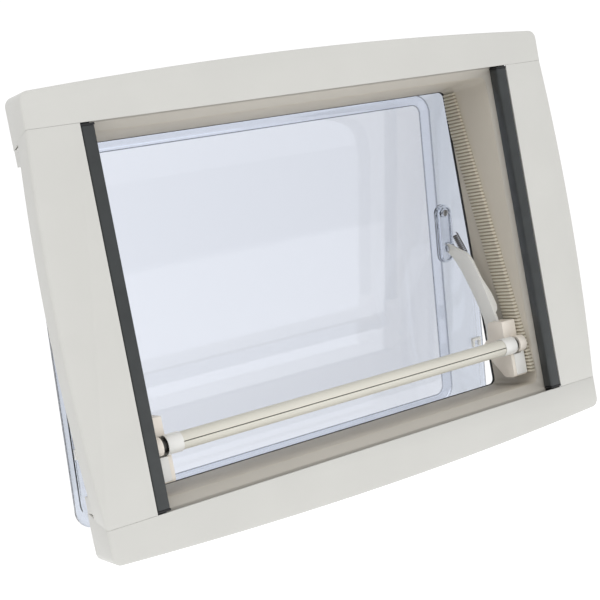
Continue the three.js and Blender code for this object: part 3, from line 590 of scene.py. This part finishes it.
# ---------------------------------------------------------------- springs
def spring_line(low, high, radius):
    """The two ends of a coil's middle line.
    The coil runs down towards the room and fills the box low to high."""
    size = high - low
    lean = Vector((0, size.y, size.z)).normalized()
    for _ in range(8):
        lean = Vector((0, size.y - 2 * radius * lean.z, size.z - 2 * radius * lean.y)).normalized()
    inset = Vector((0, radius * lean.z, radius * lean.y))
    middle_x = Vector(((low.x + high.x) / 2, 0, 0))
    top = middle_x + Vector((0, high.y, high.z)) - inset
    foot = middle_x + Vector((0, low.y, low.z)) + inset
    return top, foot


SPRING_WIRE = 0.75  # radius of the wire, in millimetres
SPRING_LEG = 2
SPRING_TURNS = 11
STEPS_PER_TURN = 20


def add_spring(side):
    """An open coil of dark wire with a short straight leg at each end."""
    node = f"{side}_spring"
    low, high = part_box(node)
    steps = SPRING_TURNS * STEPS_PER_TURN
    outer = (high.x - low.x) / 2
    radius = outer - SPRING_WIRE * MM
    top, foot = spring_line(low, high, outer)
    along = (foot - top).normalized()
    across = Vector((1, 0, 0))
    third = along.cross(across)
    points = [top + third * radius - along * SPRING_LEG * MM]
    for step in range(steps + 1):
        t = step / steps
        angle = 2 * math.pi * SPRING_TURNS * t
        ring = across * math.sin(angle) + third * math.cos(angle)
        points.append(top.lerp(foot, t) + ring * radius)
    points.append(points[-1] + along * SPRING_LEG * MM)
    curve = bpy.data.curves.new(node, "CURVE")
    curve.dimensions = "3D"
    curve.bevel_depth = SPRING_WIRE * MM
    curve.bevel_resolution = 3
    curve.use_fill_caps = True
    spline = curve.splines.new("POLY")
    spline.points.add(len(points) - 1)
    for place, point in zip(spline.points, points):
        place.co = (*point, 1)
    drawn = bpy.data.objects.new(node + "_line", curve)
    bpy.context.scene.collection.objects.link(drawn)
    bpy.context.view_layer.update()
    shaped = drawn.evaluated_get(bpy.context.evaluated_depsgraph_get())
    mesh = bpy.data.meshes.new_from_object(shaped)
    bpy.data.objects.remove(drawn)
    piece = bpy.data.objects.new(node + "_coil", mesh)
    bpy.context.scene.collection.objects.link(piece)
    mesh.shade_smooth()
    finish_piece(piece, node)


# ---------------------------------------------------------------- blinds
FOLDS = 20
ROWS_UP = 24  # faces up each fold
RAIL_TUCK = 0.004  # the cloth's tail reaches this far into the rail
SLOT_CLEARANCE = 0.0002
BACK_CLEARANCE = 0.001  # between the folds and the back of their pack


def add_pleats(name, side):
    """A folded blind between its anchor and its rail."""
    node = f"{name}_pleats"
    low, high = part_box(node)
    rail_low, rail_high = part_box(f"{name}_rail")
    anchor_x, fold_x = (high.x, low.x) if side > 0 else (low.x, high.x)
    tail_x = rail_high.x - RAIL_TUCK if side > 0 else rail_low.x + RAIL_TUCK
    height = high.z - low.z
    near_y, far_y = low.y, high.y - BACK_CLEARANCE - SLOT_CLEARANCE
    middle_y = (near_y + far_y) / 2
    places = [
        (anchor_x + (fold_x - anchor_x) * edge / (2 * FOLDS), near_y if edge % 2 else far_y)
        for edge in range(2 * FOLDS)
    ]
    places += [(fold_x, middle_y), (tail_x, middle_y)]
    bm = bmesh.new()
    heights = [low.z + height * step / ROWS_UP for step in range(ROWS_UP + 1)]
    rows = [[bm.verts.new((x, y, z)) for z in heights] for x, y in places]
    for first, second in zip(rows, rows[1:]):
        for step in range(ROWS_UP):
            bm.faces.new((first[step], first[step + 1], second[step + 1], second[step]))
    piece = piece_from(bm, node + "_cloth")
    finish_piece(piece, node, rides=False)
    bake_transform(piece)


# ---------------------------------------------------------------- everything
def front_edge(*ends):
    """A moulding's outer front edge: on the front face and away from the seams."""
    front = all(end.y < 0.05 for end in ends)
    at_seam = all(abs(abs(end.z) - SEAM_Z) < 0.4 for end in ends)
    at_opening = all(abs(abs(end.x) - CASSETTE_INNER_X) < 0.4 for end in ends)
    return front and not at_seam and not at_opening


def rail_front(*ends):
    """A blind rail's two long front edges."""
    return all(end.y < RAIL_FRONT_Y + 0.05 for end in ends) and abs(ends[0].z - ends[1].z) > 50


for node, piece in frame["nodes"].items():
    piece.data.materials.clear()
    piece.data.materials.append(paint_of(node))

add_camera()
add_world()
add_floor()
add_area("key", (-0.8, -1.5, 2.0), (0, 0, 0.1), (1.2, 1.2), 10)
add_area("back", (0.4, 2.4, 1.4), (0, 0, 0), (2.0, 2.0), 4, (0.93, 0.96, 1.0))

for node in ("upper_trim", "lower_trim", "left_cassette_cover", "right_cassette_cover"):
    moulded(node, 0.9, 3, (front_edge, 3.6, 5))
for node in ("liner_ring", "tub_frame"):
    moulded(node, 1.0, 3)
moulded("outer_frame", 0.7, 2)
moulded("frame_seal", 1.4, 3)
for node in ("hinge_rail_fixed", "hinge_rail_moving"):
    moulded(node, 0.6, 2)
for node in ("upper_blind_track", "lower_blind_track", "blackout_anchor", "screen_anchor"):
    moulded(node, 0.3, 1)
for name in ("blackout", "screen"):
    moulded(f"{name}_rail", 0.8, 2, (rail_front, 4.0, 6))
    moulded(f"{name}_upper_shoe", 0.8, 2)
    moulded(f"{name}_lower_shoe", 0.8, 2)
for number in range(1, 5):
    moulded(f"clamp_plate_{number}", 0.4, 2)
    moulded(f"clamp_screw_{number}", 0.3, 2)
for side in ("left", "right"):
    moulded(f"{side}_rack", 0.25, 1)
    moulded(f"{side}_arm", 1.1, 3)
    moulded(f"{side}_slider", 1.6, 3)
    moulded(f"{side}_button", 1.4, 3)
    moulded(f"{side}_collar", 0.5, 2)
    moulded(f"{side}_pawl", 0.3, 1)
    edge_shaded(moulded(f"{side}_bracket", 0.6, 2))
    moulded(f"{side}_sash_keeper", 0.6, 2)
    for pin in ("bracket_screw", "bracket_pin", "pivot_pin"):
        moulded(f"{side}_{pin}", 0.4, 2)
    add_spring(side)
for node in ("bar_shell_upper", "bar_shell_lower"):
    moulded(node, 0.4, 2)
add_acrylic()
add_pleats("blackout", -1)
add_pleats("screen", 1)

scene = bpy.context.scene
scene.view_settings.view_transform = "Standard"
scene.view_settings.look = "None"
